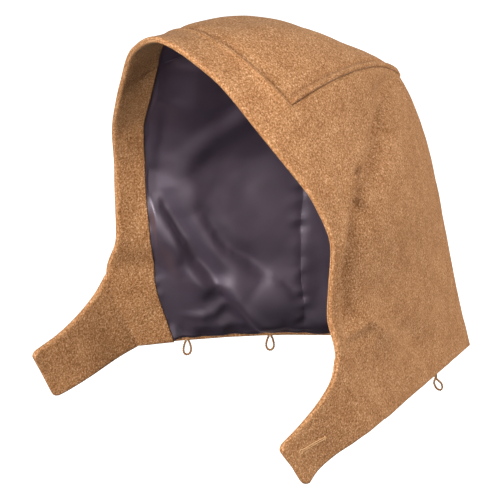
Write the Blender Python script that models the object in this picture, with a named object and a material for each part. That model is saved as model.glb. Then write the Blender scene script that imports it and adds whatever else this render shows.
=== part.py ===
"""Detachable hood of a duffle coat, in wool with a satin lining, open and filled out as if worn.

Lengths in the tables are millimetres from the foot of the centre back seam, with +X to the wearer's left,
-Y to the front and +Z up. The finished part is moved so that the place where the head carries it is the origin.
One grid holds the outer face of each half: its rows run from the neck edge up to the middle of the crown, and its
columns run from the face edge back to the centre back. Every piece is cut from cells of that grid, moved inwards
by its own depth, so that the layers lie on each other as sewn cloth does.
"""

import bmesh
import bpy
import numpy as np

MM = 0.001
HEAD = (0.0, -196.0, 326.0)  # where the head carries the crown, measured from the foot of the centre back seam

SHELL = 2.5  # thick wool
FACING = 2.5
LINING = 1.0
PLY_GAP = 0.3  # between one ply and the next
SEAM_GAP = 0.3  # between two pieces that are sewn edge to edge
BAND_EXTRA = 4.0  # from the facing's inner edge to the crown panel's front seam
HEM = 4.0  # turned wool that shows below the lining
TAB_CORNER = 6.0

# Rows of the side: the face edge's point, the centre back seam's point at the same row, how far the panel between
# them stands out sideways and upwards at its middle, the facing's width, and where the lining's side seam runs, as a
# share of the way from the face edge to the centre back.
SIDE_ROWS = (
    # row, front x, front y, front z, back y, back z, out, up, facing, seam
    ("neck", 154, -255, 17, 0, 0, 7, 7, 33, 0.50),
    ("jaw", 153, -291, 91, -16, 55, 13, 0, 44, 0.55),
    ("cheek", 141, -290, 128, -28, 104, 17, 0, 31, 0.56),
    ("ear", 144, -289, 182, -41, 155, 19, 2, 28, 0.59),
    ("temple", 135, -299, 223, -53, 197, 20, 7, 29, 0.62),
    ("brow", 110, -316, 261, -67, 232, 19, 18, 34, 0.65),
    ("corner", 91, -327, 285, -85, 264, 19, 29, 37, 0.68),
)
# Rows of the band over the head: the face edge's point.
BAND_ROWS = (
    # row, front x, front y, front z
    ("crown side", 54, -345, 327),
    ("top", 0, -358, 351),
)
# The crown panel's centre line, from its front seam to the corner.
CROWN_CENTRE = (
    # y, z
    (-313.5, 346.5),
    (-302, 348.5),
    (-285, 348),
    (-251, 344.5),
    (-217, 334.5),
    (-161, 307.5),
    (-118, 285),
    (-85, 264),
)
CROWN_ARCH = 2.3  # how square the arch over the head is
CROWN_PUFF = 4.0  # fullness between the crown panel's side seams and its centre line

# Edges of the chin tab, from the throat and from the neck edge to the tab's end.
TAB_TOP = ((153, -291, 91), (157, -299, 75), (159, -313, 61), (161, -335, 46), (165, -367, 31))
TAB_BOTTOM = ((154, -255, 17), (156, -274, 11.5), (157, -302, 2.5), (161.5, -323, -5.5), (168.5, -338, -12.5))
TAB_LIFT = (("left", 3.5), ("right", -3.0))  # how much higher each tab's lower corner lies

# Cells between one table row and the next, and from column to column.
ROW_CELLS = (6, 4, 4, 3, 3, 2)
BAND_CELLS = 8
FACING_CELLS = 3
FRONT_CELLS = 11
BACK_CELLS = 8
TAB_CELLS = (0.0, 0.1, 0.22, 0.36, 0.54, 0.72, 0.87, 0.96, 1.0)
POINT_ROWS = (8, 4, 2, 2)  # rows taken as one in the columns before the crown panel's point, where it is narrow

# Largest folds. Each runs through places on the side given as (row number, share of the way back). Depth is into the
# hood, and a negative one stands out.
SHELL_FOLDS = (
    # side, depth, half width, course
    ("left", 7.0, 18.0, ((5.7, 0.85), (5.2, 0.65), (4.6, 0.46), (4.1, 0.30), (3.2, 0.15), (2.0, 0.11))),
    ("left", -3.0, 14.0, ((1.9, 0.15), (1.4, 0.22), (0.8, 0.35))),
    ("left", 3.0, 11.0, ((1.4, 0.33), (0.8, 0.47), (0.4, 0.60))),
    ("right", 6.0, 20.0, ((5.6, 0.82), (4.8, 0.55), (4.0, 0.33), (3.0, 0.20), (2.2, 0.16))),
    ("right", 3.0, 13.0, ((1.3, 0.30), (0.8, 0.44), (0.3, 0.55))),
)
LINING_FOLDS = (
    ("right", 8.0, 11.0, ((2.8, 0.15), (2.2, 0.18), (1.6, 0.22), (1.2, 0.27), (0.8, 0.34), (0.3, 0.38))),
    ("right", 4.0, 12.0, ((1.9, 0.29), (1.5, 0.36), (1.1, 0.42), (0.9, 0.48), (0.4, 0.51))),
    ("right", 4.0, 12.0, ((3.2, 0.30), (3.0, 0.40), (3.3, 0.52))),
    ("right", 3.5, 13.0, ((1.6, 0.66), (1.0, 0.74), (0.3, 0.80))),
    ("left", 7.0, 12.0, ((2.7, 0.17), (2.0, 0.22), (1.4, 0.30), (0.9, 0.37), (0.4, 0.41))),
    ("left", 4.0, 13.0, ((3.7, 0.22), (3.0, 0.33), (2.2, 0.40))),
    ("left", 3.5, 13.0, ((1.8, 0.68), (1.1, 0.74), (0.4, 0.78))),
)
FOLD_END = 0.12  # how much of a fold's rise and fall is left at its ends
FLATTEST_FOLD = 0.2  # faces that turn less than about this much, in radians, count as one plane

# Cord loops at the neck edge, each at a distance along it from the centre back.
LOOPS = (
    # name, side, distance, lean outwards, turn out of the panel's plane in degrees
    ("loop_right_front", "right", 254.0, 0.0, 0.0),
    ("loop_right_back", "right", 180.0, 0.0, 8.0),
    ("loop_left_back", "left", 130.0, 3.6, 90.0),
)
LOOP_CORD = 1.8
LOOP_LENGTH = 13.5
LOOP_STUB = 1.6  # the straight ends under the wool
LOOP_WIDTH = 7.0
LOOP_NECK = 0.35  # how wide the loop is near its ends, as a share of its width
LOOP_STEPS = 24

CREASE_ANGLE = 40.0  # degrees between faces that are shaded as an edge
WOOL = (0.462, 0.240, 0.103)
SATIN = (0.060, 0.045, 0.062)
CORD = (0.120, 0.050, 0.018)
WOOL_ROUGHNESS = 0.95
SATIN_ROUGHNESS = 0.35
CORD_ROUGHNESS = 0.6

FRONT_TABLE = [row[1:4] for row in SIDE_ROWS + BAND_ROWS]
FRONT_TABLE.append((-BAND_ROWS[0][1], *BAND_ROWS[0][2:4]))  # the other half's row, so that the top is round
BACK_TABLE = [row[4:8] for row in SIDE_ROWS]
FACING_TABLE = [row[8:10] for row in SIDE_ROWS]
CORNER_ROW = len(SIDE_ROWS) - 1
TOP_ROW = CORNER_ROW + len(BAND_ROWS)
JAW = ROW_CELLS[0]
CORNER = sum(ROW_CELLS)
TOP = CORNER + BAND_CELLS
BAND_COLUMN = FACING_CELLS + 1
SEAM_COLUMN = BAND_COLUMN + FRONT_CELLS
BACK_COLUMN = SEAM_COLUMN + BACK_CELLS
LINING_DEPTH = SHELL + PLY_GAP


def hermite(a, b, slope_a, slope_b, u):
    """A smooth way from a to b."""
    return (
        (2 * u**3 - 3 * u**2 + 1) * a
        + (u**3 - 2 * u**2 + u) * slope_a
        + (3 * u**2 - 2 * u**3) * b
        + (u**3 - u**2) * slope_b
    )


def through(points):
    """A smooth curve through the points, as a function of 0 to 1 by length along their chords."""
    p = np.array(points, float)
    knots = np.concatenate([[0], np.cumsum(np.linalg.norm(np.diff(p, axis=0), axis=1))])
    slopes = np.gradient(p, knots, axis=0)

    def at(s):
        x = s * knots[-1]
        i = min(int(np.searchsorted(knots, x, side="right")) - 1, len(p) - 2)
        h = knots[i + 1] - knots[i]
        return hermite(p[i], p[i + 1], h * slopes[i], h * slopes[i + 1], (x - knots[i]) / h)

    return at


def even_slope(before, after):
    """A slope between two steps that never overshoots them, for each column of a table."""
    same_way = before * after > 0
    return np.where(same_way, 2 * before * after / np.where(same_way, before + after, 1), 0)


def table_value(rows, t):
    """The rows of a table read between its lines, smoothly, at row number t."""
    p = np.array(rows, float)
    i = min(int(t), len(p) - 2)
    a, b = p[i], p[i + 1]
    slope_a = even_slope(a - p[i - 1], b - a) if i > 0 else b - a
    slope_b = even_slope(b - a, p[i + 2] - b) if i < len(p) - 2 else b - a
    return hermite(a, b, slope_a, slope_b, t - i)


def side_point(t, share):
    """The side panel's outer face, at row number t and this share of the way from the face edge to the centre back."""
    front = table_value(FRONT_TABLE, t)
    back_y, back_z, out, up = table_value(BACK_TABLE, min(t, CORNER_ROW))
    way = np.array([0, back_y, back_z]) - front
    sideways = np.array([way[1], -way[0], 0]) / np.hypot(way[0], way[1])
    bulge = 4 * share * (1 - share)
    return front + share * way + bulge * (out * sideways + up * np.array([0, 0, 1]))


def side_share(t, column):
    """The share of the way back at which a column lies, on row number t."""
    way = np.linalg.norm(side_point(t, 1) - side_point(t, 0))
    width, seam = table_value(FACING_TABLE, min(t, CORNER_ROW))
    facing, band = width / way, (width + BAND_EXTRA) / way
    if column <= FACING_CELLS:
        return facing * column / FACING_CELLS
    if column <= SEAM_COLUMN:
        return band + (seam - band) * (column - BAND_COLUMN) / FRONT_CELLS
    return seam + (1 - seam) * (column - SEAM_COLUMN) / BACK_CELLS


CROWN_LINE = through([(0, y, z) for y, z in CROWN_CENTRE])


def crown_point(t, column):
    """The crown panel's outer face, between its side seam and the centre line of the head."""
    across = (t - CORNER_ROW) / (TOP_ROW - CORNER_ROW)
    share = side_share(CORNER_ROW, column)
    start = side_share(CORNER_ROW, BAND_COLUMN)
    along = (share - start) / (1 - start)
    seam = side_point(CORNER_ROW, share)
    point = seam + (CROWN_LINE(along) - seam) * (1 - (1 - across) ** CROWN_ARCH)
    point[0] = seam[0] * (1 - across)
    point[2] += CROWN_PUFF * 4 * across * (1 - across) * np.sin(np.pi * min(along, 1))
    return point


def band_point(t, column):
    """The band's outer face over the head, between the face edge and the crown panel's front seam."""
    front, seam = table_value(FRONT_TABLE, t), crown_point(t, BAND_COLUMN)
    facing = FACING_TABLE[-1][0]
    return front + (seam - front) * column / FACING_CELLS * facing / (facing + BAND_EXTRA)


def row_numbers():
    """The grid rows' numbers in the tables."""
    found = [0.0]
    for row, cells in enumerate(ROW_CELLS):
        found += [row + (k + 1) / cells for k in range(cells)]
    found += [CORNER_ROW + (TOP_ROW - CORNER_ROW) * (k + 1) / BAND_CELLS for k in range(BAND_CELLS)]
    return found


ROWS = row_numbers()


def tab_points():
    """The chin tab's outer face, in columns from -1 at its root to the end, whose corners are round."""
    grid = {}
    top_edge, bottom_edge = through(TAB_TOP), through(TAB_BOTTOM)
    end = np.linalg.norm(top_edge(1) - bottom_edge(1))
    length = np.linalg.norm(top_edge(1) - top_edge(0))
    for k, w in enumerate(TAB_CELLS[1:], 1):
        short = max(0.0, TAB_CORNER - (1 - w) * length)
        inset = (TAB_CORNER - np.sqrt(TAB_CORNER**2 - short**2)) / end
        for r in range(JAW + 1):
            up = ROWS[r]
            root = table_value(FRONT_TABLE, up)
            straight = bottom_edge(0) + (top_edge(0) - bottom_edge(0)) * up
            up = inset + (1 - 2 * inset) * up
            grid[r, -k] = bottom_edge(w) + (top_edge(w) - bottom_edge(w)) * up + (1 - w) * (root - straight)
    return grid


def half_grid():
    """The outer face of the left half, before folds: {(row, column): point}."""
    grid = tab_points()
    for r, t in enumerate(ROWS):
        for c in range(BACK_COLUMN + 1):
            if r <= CORNER:
                grid[r, c] = side_point(t, side_share(t, c))
            elif c >= BAND_COLUMN:
                grid[r, c] = crown_point(t, c)
            else:
                grid[r, c] = band_point(t, c)
    return grid


def fold_depth(place, side, folds):
    """How far the folds of this side push a point of the side panel into the hood."""
    total = 0.0
    for fold_side, depth, half_width, course in folds:
        if fold_side != side:
            continue
        stops = [side_point(*stop) for stop in course]
        lengths = [np.linalg.norm(b - a) for a, b in zip(stops, stops[1:], strict=False)]
        nearest, way_along = None, 0.0
        for i, (a, b) in enumerate(zip(stops, stops[1:], strict=False)):
            s = min(max(float(np.dot(place - a, b - a)) / lengths[i] ** 2, 0.0), 1.0)
            away = np.linalg.norm(place - a - (b - a) * s)
            if nearest is None or away < nearest:
                nearest, way_along = away, (sum(lengths[:i]) + s * lengths[i]) / sum(lengths)
        within = FOLD_END + (1 - 2 * FOLD_END) * way_along
        total += depth * np.sin(np.pi * within) ** 0.6 * np.exp(-((nearest / half_width) ** 2))
    return total


def key(side, r, c):
    """One name for a grid point that both halves share, or that rows share near the crown panel's point."""
    if r > CORNER and c == BACK_COLUMN:
        r = CORNER
    elif r > CORNER and c >= BACK_COLUMN - len(POINT_ROWS):
        step = POINT_ROWS[BACK_COLUMN - 1 - c]
        r = CORNER + -(-(r - CORNER) // step) * step
    return ("middle" if r == TOP or c == BACK_COLUMN else side, r, c)


def cells_of(chosen):
    """Grid cells that the test picks, as (row, column) of the low corner."""
    columns = range(1 - len(TAB_CELLS), BACK_COLUMN)
    return [(r, c) for r in range(TOP) for c in columns if (c >= 0 or r < JAW) and chosen(r, c)]


def faces_of(cells, sides=("left", "right")):
    """Two triangles over each cell, as lists of grid keys that turn the same way seen from outside."""
    faces = []
    for side in sides:
        for r, c in cells:
            low, ahead = key(side, r, c), key(side, r, c + 1)
            above, across = key(side, r + 1, c), key(side, r + 1, c + 1)
            for face in ([low, ahead, across], [low, across, above]):
                if len(set(face)) == 3:
                    faces.append(face if side == "left" else face[::-1])
    return faces


EVERY_FACE = faces_of(cells_of(lambda r, c: True))


def normal_of(face, points):
    """A triangle's unit normal, which points out of the hood."""
    a, b, c = (points[k] for k in face)
    normal = np.cross(b - a, c - a)
    return normal / np.linalg.norm(normal)


def ways_in(points):
    """At each point, where to go for one millimetre of depth under all the faces that meet there."""
    normals = {}
    for face in EVERY_FACE:
        normal = normal_of(face, points)
        for k in face:
            normals.setdefault(k, []).append(normal)
    return {k: np.linalg.lstsq(np.array(n), -np.ones(len(n)), rcond=FLATTEST_FOLD)[0] for k, n in normals.items()}


def tab_lift(side, r, c):
    """How much higher a point of this side's tab lies."""
    return dict(TAB_LIFT)[side] * TAB_CELLS[-c] * (1 - r / JAW)


def wool_face():
    """The outer face with its largest folds: {key: point}."""
    base = half_grid()
    flat = {}
    for side, sign in (("left", 1), ("right", -1)):
        for (r, c), place in base.items():
            if key(side, r, c)[1] == min(r, CORNER if c == BACK_COLUMN else r):
                flat[key(side, r, c)] = place * (sign, 1, 1)
                if c < 0:
                    flat[key(side, r, c)][2] += tab_lift(side, r, c)
    inwards = ways_in(flat)
    points = dict(flat)
    for k in flat:
        side, r, c = k
        if side != "middle" and r < CORNER and c >= 0:
            calm = min(1.0, c / 2, (CORNER - r) / 2, (BACK_COLUMN - c) / 2)
            points[k] = flat[k] + fold_depth(base[r, c], side, SHELL_FOLDS) * calm * inwards[k]
    return points


def lining_face(points, inwards):
    """The lining's face against the wool, with its own folds that stand into the hood."""
    found = {}
    for k, place in points.items():
        side, r, c = k
        depth = LINING_DEPTH
        if side != "middle" and r < CORNER:
            calm = min(1.0, (c - FACING_CELLS) / 2, r / 2, (CORNER - r) / 2, (BACK_COLUMN - c) / 2)
            seen = place * ((1, 1, 1) if side == "left" else (-1, 1, 1))
            depth += fold_depth(seen, side, LINING_FOLDS) * max(calm, 0.0)
        found[k] = place + depth * inwards[k]
    return found


WOOL_POINTS = wool_face()
WOOL_INWARDS = ways_in(WOOL_POINTS)
LINING_POINTS = lining_face(WOOL_POINTS, WOOL_INWARDS)
LINING_INWARDS = ways_in(LINING_POINTS)


def edges_once(faces):
    """The edges that only one face has, as {(from, to): face}."""
    found = {}
    for face in faces:
        for a, b in zip(face, face[1:] + face[:1], strict=True):
            if (b, a) in found:
                del found[b, a]
            else:
                found[a, b] = face
    return found


def trimmed(faces, points, gap_of):
    """Points moved in from the piece's own edges, within its faces, by what gap_of says for each edge."""
    pulls = {}
    for (a, b), face in edges_once(faces).items():
        way = np.cross(normal_of(face, points), points[b] - points[a])
        way /= np.linalg.norm(way)
        for k in (a, b):
            pulls.setdefault(k, []).append((way, gap_of(a, b)))
    for face in faces:
        for k in face:
            if k in pulls:
                pulls[k].append((normal_of(face, points), 0.0))
    moved = dict(points)
    for k, pull in pulls.items():
        ways = np.array([way for way, _ in pull])
        gaps = np.array([gap for _, gap in pull])
        moved[k] = points[k] + np.linalg.lstsq(ways, gaps, rcond=FLATTEST_FOLD)[0]
    return moved


def place_object(name, data):
    obj = bpy.data.objects.new(name, data)
    COLLECTION.objects.link(obj)
    return obj


def finish(obj, colour, roughness):
    material = bpy.data.materials.new(obj.name)
    material.use_nodes = True
    shader = material.node_tree.nodes["Principled BSDF"]
    shader.inputs["Base Color"].default_value = (*colour, 1.0)
    shader.inputs["Roughness"].default_value = roughness
    shader.inputs["Metallic"].default_value = 0.0
    obj.data.materials.append(material)


def wall(name, faces, points, inwards, near, far, gap_of):
    """A closed piece of cloth between two depths under a face."""
    edge = trimmed(faces, points, gap_of)
    names = sorted({k for face in faces for k in face}, key=str)
    mesh = bmesh.new()
    outer, inner = (
        {k: mesh.verts.new((edge[k] + inwards[k] * depth - HEAD) * MM) for k in names} for depth in (near, far)
    )
    for face in faces:
        mesh.faces.new([outer[k] for k in face])
        mesh.faces.new([inner[k] for k in reversed(face)])
    for a, b in edges_once(faces):
        mesh.faces.new([outer[b], outer[a], inner[a], inner[b]])
    bmesh.ops.triangulate(mesh, faces=mesh.faces[:])
    bmesh.ops.recalc_face_normals(mesh, faces=mesh.faces[:])
    data = bpy.data.meshes.new(name)
    mesh.to_mesh(data)
    mesh.free()
    data.shade_smooth()
    data.set_sharp_from_angle(angle=np.radians(CREASE_ANGLE))
    return place_object(name, data)


def face_edge(a, b):
    """Whether an edge lies on the face opening or round a tab."""
    return a[2] <= 0 and b[2] <= 0


def neck_edge(a, b):
    return a[1] == 0 and b[1] == 0


def wool_gap(a, b):
    return 0.0 if face_edge(a, b) or neck_edge(a, b) else SEAM_GAP / 2


def lining_gap(a, b):
    return HEM if neck_edge(a, b) else SEAM_GAP / 2


def make_wool():
    outer = (WOOL_POINTS, WOOL_INWARDS, 0.0, SHELL)
    under = (WOOL_POINTS, WOOL_INWARDS, LINING_DEPTH, LINING_DEPTH + FACING)
    wrap_cells = cells_of(lambda r, c: r < CORNER or c < BAND_COLUMN)
    crown_cells = cells_of(lambda r, c: r >= CORNER and c >= BAND_COLUMN)
    facing_cells = cells_of(lambda r, c: c < FACING_CELLS)
    finish(wall("shell_wrap", faces_of(wrap_cells), *outer, wool_gap), WOOL, WOOL_ROUGHNESS)
    finish(wall("crown_panel", faces_of(crown_cells), *outer, wool_gap), WOOL, WOOL_ROUGHNESS)
    finish(wall("facing", faces_of(facing_cells), *under, wool_gap), WOOL, WOOL_ROUGHNESS)


def make_lining():
    layer = (LINING_POINTS, LINING_INWARDS, 0.0, LINING)
    front_cells = cells_of(lambda r, c: r < CORNER and FACING_CELLS <= c < SEAM_COLUMN)
    back_cells = cells_of(lambda r, c: r < CORNER and c >= SEAM_COLUMN)
    crown_cells = cells_of(lambda r, c: r >= CORNER and c >= FACING_CELLS)
    for name, faces, gap_of in (
        ("lining_right", faces_of(front_cells, ("right",)), lining_gap),
        ("lining_left", faces_of(front_cells, ("left",)), lining_gap),
        ("lining_back", faces_of(back_cells), lining_gap),
        ("lining_crown", faces_of(crown_cells), lining_gap),
    ):
        finish(wall(name, faces, *layer, gap_of), SATIN, SATIN_ROUGHNESS)


def neck_place(side, distance):
    """A point on the middle of the wool's lower edge, this far from the centre back, and the way forwards there."""
    run = [key(side, 0, c) for c in range(BACK_COLUMN, -1, -1)]
    walked = 0.0
    for a, b in zip(run, run[1:], strict=False):
        step = WOOL_POINTS[b] - WOOL_POINTS[a]
        length = np.linalg.norm(step)
        if walked + length >= distance:
            share = (distance - walked) / length
            inwards = WOOL_INWARDS[a] * (1 - share) + WOOL_INWARDS[b] * share
            return WOOL_POINTS[a] + step * share + inwards * SHELL / 2, step / length
        walked += length
    raise ValueError(f"the neck edge is shorter than {distance} mm")


def make_loop(name, side, distance, lean, turn):
    """A teardrop of cord whose two ends butt on the neck edge from below."""
    root, forwards = neck_place(side, distance)
    outwards = np.array([-forwards[1], forwards[0], 0.0]) * (1 if side == "left" else -1)
    down = np.array([0.0, 0.0, -1.0])
    half_foot = LOOP_CORD * 0.6
    points = [root - forwards * half_foot + down * SEAM_GAP]
    for k in range(LOOP_STEPS + 1):
        angle = 2 * np.pi * k / LOOP_STEPS
        low = 0.5 * (1 - np.cos(angle))
        swing = np.radians(turn) * min(1.0, 2 * low)
        aside = forwards * np.cos(swing) + outwards * np.sin(swing)
        width = LOOP_WIDTH / 2 * np.sin(angle) * (LOOP_NECK + (1 - LOOP_NECK) * low)
        drop = LOOP_STUB + (LOOP_LENGTH - LOOP_STUB) * low
        points.append(root - aside * (width + half_foot * np.cos(angle / 2)) + outwards * lean * low + down * drop)
    points.append(root + forwards * half_foot + down * SEAM_GAP)
    curve = bpy.data.curves.new(name, "CURVE")
    curve.dimensions = "3D"
    curve.bevel_depth = LOOP_CORD / 2 * MM
    curve.bevel_resolution = 2
    curve.use_fill_caps = True
    spline = curve.splines.new("POLY")
    spline.points.add(len(points) - 1)
    for spot, place in zip(spline.points, points, strict=True):
        spot.co = (*((place - HEAD) * MM), 1.0)
    finish(place_object(name, curve), CORD, CORD_ROUGHNESS)


for old in list(bpy.data.objects):
    bpy.data.objects.remove(old)
COLLECTION = bpy.data.collections.new("duffle_coat_hood")
bpy.context.scene.collection.children.link(COLLECTION)

make_wool()
make_lining()
for loop_row in LOOPS:
    make_loop(*loop_row)
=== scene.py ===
"""Looks of the detachable duffle coat hood: camel melton wool, aubergine satin lining and brown cord loops.

Lengths are millimetres from the foot of the centre back seam until a mesh is made, as in the solids. Each
half of the hood is one fine grid over the same form as the solids. The wool, the facing and the lining are
cut from its cells and lie under one another, each with its own folds, rolled edges and seams.
"""

import bpy
import numpy as np
from mathutils import Matrix, Vector, noise


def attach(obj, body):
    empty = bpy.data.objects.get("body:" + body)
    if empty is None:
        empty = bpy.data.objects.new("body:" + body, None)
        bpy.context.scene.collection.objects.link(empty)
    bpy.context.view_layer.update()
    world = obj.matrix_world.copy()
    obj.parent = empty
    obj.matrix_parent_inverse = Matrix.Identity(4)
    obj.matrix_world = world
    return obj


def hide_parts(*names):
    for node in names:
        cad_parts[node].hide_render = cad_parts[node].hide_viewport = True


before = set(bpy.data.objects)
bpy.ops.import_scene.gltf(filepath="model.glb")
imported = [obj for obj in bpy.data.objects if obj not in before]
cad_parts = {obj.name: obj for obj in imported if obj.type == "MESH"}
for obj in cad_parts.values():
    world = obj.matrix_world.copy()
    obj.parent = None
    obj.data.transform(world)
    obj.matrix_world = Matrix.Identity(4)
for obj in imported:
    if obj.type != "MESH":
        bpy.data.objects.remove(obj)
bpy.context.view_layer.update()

MM = 0.001
HEAD = np.array((0.0, -196.0, 326.0))

# Cloth. The band goes on behind the facing by its extra width.
SHELL = 2.5
FACING = 2.5
LINING = 0.5
PLY_GAP = 0.3
UNDER = SHELL + PLY_GAP
SEAM_GAP = 0.15
SATIN_SEAM_GAP = 0.04
BAND_EXTRA = 4.0
HEM = 4.0
TAB_CORNER = 6.0

# The form, as in the solids.
SIDE_ROWS = (
    # row, front x, front y, front z, back y, back z, out, up, facing, seam
    ("neck", 154, -255, 17, 0, 0, 7, 7, 33, 0.50),
    ("jaw", 153, -291, 91, -16, 55, 13, 0, 44, 0.55),
    ("cheek", 141, -290, 128, -28, 104, 17, 0, 31, 0.56),
    ("ear", 144, -289, 182, -41, 155, 19, 2, 28, 0.59),
    ("temple", 135, -299, 223, -53, 197, 20, 7, 29, 0.62),
    ("brow", 110, -316, 261, -67, 232, 19, 18, 34, 0.65),
    ("corner", 91, -327, 285, -85, 264, 19, 29, 37, 0.68),
)
BAND_ROWS = (("crown side", 54, -345, 327), ("top", 0, -358, 351))
CROWN_CENTRE = (
    # x, y, z
    (0, -313.5, 346.5),
    (0, -302, 348.5),
    (0, -285, 348),
    (0, -251, 344.5),
    (0, -217, 334.5),
    (0, -161, 307.5),
    (0, -118, 285),
    (0, -85, 264),
)
CROWN_ARCH = 2.3
CROWN_PUFF = 4.0
TAB_TOP = ((153, -291, 91), (157, -299, 75), (159, -313, 61), (161, -335, 46), (165, -367, 31))
TAB_BOTTOM = (
    (154, -255, 17),
    (156, -274, 11.5),
    (157, -302, 2.5),
    (161.5, -323, -5.5),
    (168.5, -338, -12.5),
)
TAB_LIFT = {"left": 3.5, "right": -3.0}

FRONT_TABLE = [row[1:4] for row in SIDE_ROWS + BAND_ROWS]
FRONT_TABLE.append((-BAND_ROWS[0][1], *BAND_ROWS[0][2:4]))
BACK_TABLE = [row[4:8] for row in SIDE_ROWS]
FACING_TABLE = [row[8:10] for row in SIDE_ROWS]
CORNER_ROW = len(SIDE_ROWS) - 1
TOP_ROW = CORNER_ROW + len(BAND_ROWS)

# The grid over the form: the lengths that its lines divide, and how far apart they lie.
ROW_LENGTHS = (74, 37, 54, 42, 42, 28)
CROWN_HALF = 97
FACING_WIDTH, FRONT_WIDTH, BACK_WIDTH, TAB_LENGTH = 32, 125, 100, 95
ROW_STEP, COLUMN_STEP, BAND_STEP, CROWN_STEP = 2.8, 2.6, 2.0, 3.0
CLOSE_LINES = [0.35, 0.9, 1.7]
# Closer rows for the groove beside the crown's side seam.
GROOVE_START, GROOVE_END, GROOVE_STEP = 3.0, 13.0, 0.8
# The share of the tab over which its rows draw close to its edges.
TAB_ROOT = 0.06

# Radii of edges and seams, the ridge down the back seam, and the least wool left where a seam presses it.
EDGE_ROUND = 2.3
LINED_NECK_ROUND = 1.3
INNER_NECK_ROUND = 1.1
SIDE_SEAM_ROUND = 1.9
BAND_SEAM_ROUND = 2.1
BACK_SEAM_ROUND = 1.3
FACING_EDGE_ROUND = 1.4
RIDGE_ROUND = 2.8
RIDGE_SLOPE = 0.7
THINNEST = 0.2

# How the turned cloth below the wool lifts it by a seam: height, distance from the seam, half width.
CROWN_RIDGE = (1.6, 3.4, 2.2)
CROWN_GROOVE = (-2.4, 6.8, 1.5)
BELOW_CROWN = (-1.5, 0.0, 5.5)
BAND_RIDGE = (1.7, 3.8, 3.5)
BEHIND_BAND = (-1.0, 0.0, 6.0)
SEAM_LUMPS = ((0.35, 11.0, 10),)

# Uneven cloth: height and size of the lumps, and the seed of each layer. Less of it is left at the edges.
WOOL_LUMPS = ((0.7, 55.0, 1), (0.35, 21.0, 2), (0.12, 8.0, 3))
EDGE_UNEVEN = 0.35
LINING_LUMPS = ((0.9, 34.0, 4), (0.4, 15.0, 5))
BILLOW_LUMPS = ((0.3, 60.0, 9),)

# Small folds of the lining: depth, size, seed, reach from the seam or hem, and squeeze of x, y and z, which
# draws folds out along an axis where it is below 1. The lining hangs slack but where its seam draws it in.
PUCKER = (3.4, 8.0, 6, 8.0, (0.5, 0.5, 1.0))
GATHER = (4.0, 10.0, 7, 15.0, (1.0, 1.0, 0.3))
RUFFLE = (1.1, 6.0, 8, 6.0, (0.5, 0.5, 1.0))
LINING_SLACK = 0.9
SEAM_DRAW = 3.0

# Folds, each through (row number, share of the way back) places. Depth is into the hood. A tuck pushes the
# cloth in on the front side of its line and lets it out behind it.
SHELL_FOLDS = (
    # side, depth, half width, tuck, course
    ("left", 4.5, 18.0, 0.0,
     ((5.7, 0.85), (5.2, 0.65), (4.6, 0.46), (4.1, 0.30), (3.2, 0.15), (2.0, 0.11))),
    ("left", 5.6, 8.5, -3.6,
     ((5.8, 0.91), (5.2, 0.65), (4.6, 0.46), (4.1, 0.30), (3.8, 0.20), (3.2, 0.11), (2.5, 0.07))),
    ("left", 5.0, 8.5, -3.0, ((3.3, 0.12), (2.8, 0.08), (2.3, 0.07), (1.9, 0.07), (1.5, 0.06))),
    ("left", -3.0, 14.0, 0.0, ((1.9, 0.15), (1.4, 0.22), (0.8, 0.35))),
    ("left", 3.0, 11.0, 0.0, ((1.4, 0.33), (0.8, 0.47), (0.4, 0.60))),
    ("left", 3.0, 6.0, 2.2, ((1.2, 0.03), (1.25, 0.13), (1.3, 0.22))),
    ("left", -1.0, 5.0, 0.0, ((4.6, 0.15), (4.2, 0.11), (3.8, 0.09))),
    ("left", -2.6, 5.5, 0.0, ((1.9, 0.13), (1.6, 0.17), (1.15, 0.28))),
    ("left", 1.0, 9.0, 0.6, ((2.6, 0.55), (2.0, 0.62), (1.3, 0.64))),
    ("right", 3.5, 20.0, 0.0, ((5.6, 0.82), (4.8, 0.55), (4.0, 0.33), (3.0, 0.20), (2.2, 0.16))),
    ("right", 3.5, 10.0, -1.5, ((5.6, 0.84), (4.8, 0.55), (4.0, 0.33), (3.2, 0.21))),
    ("right", 3.0, 13.0, 0.0, ((1.3, 0.30), (0.8, 0.44), (0.3, 0.55))),
    ("right", 1.4, 6.0, 0.8, ((1.7, 0.12), (1.2, 0.20), (0.8, 0.30))),
    ("right", 1.0, 9.0, 0.6, ((3.2, 0.50), (2.4, 0.60), (1.6, 0.63))),
)
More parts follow.
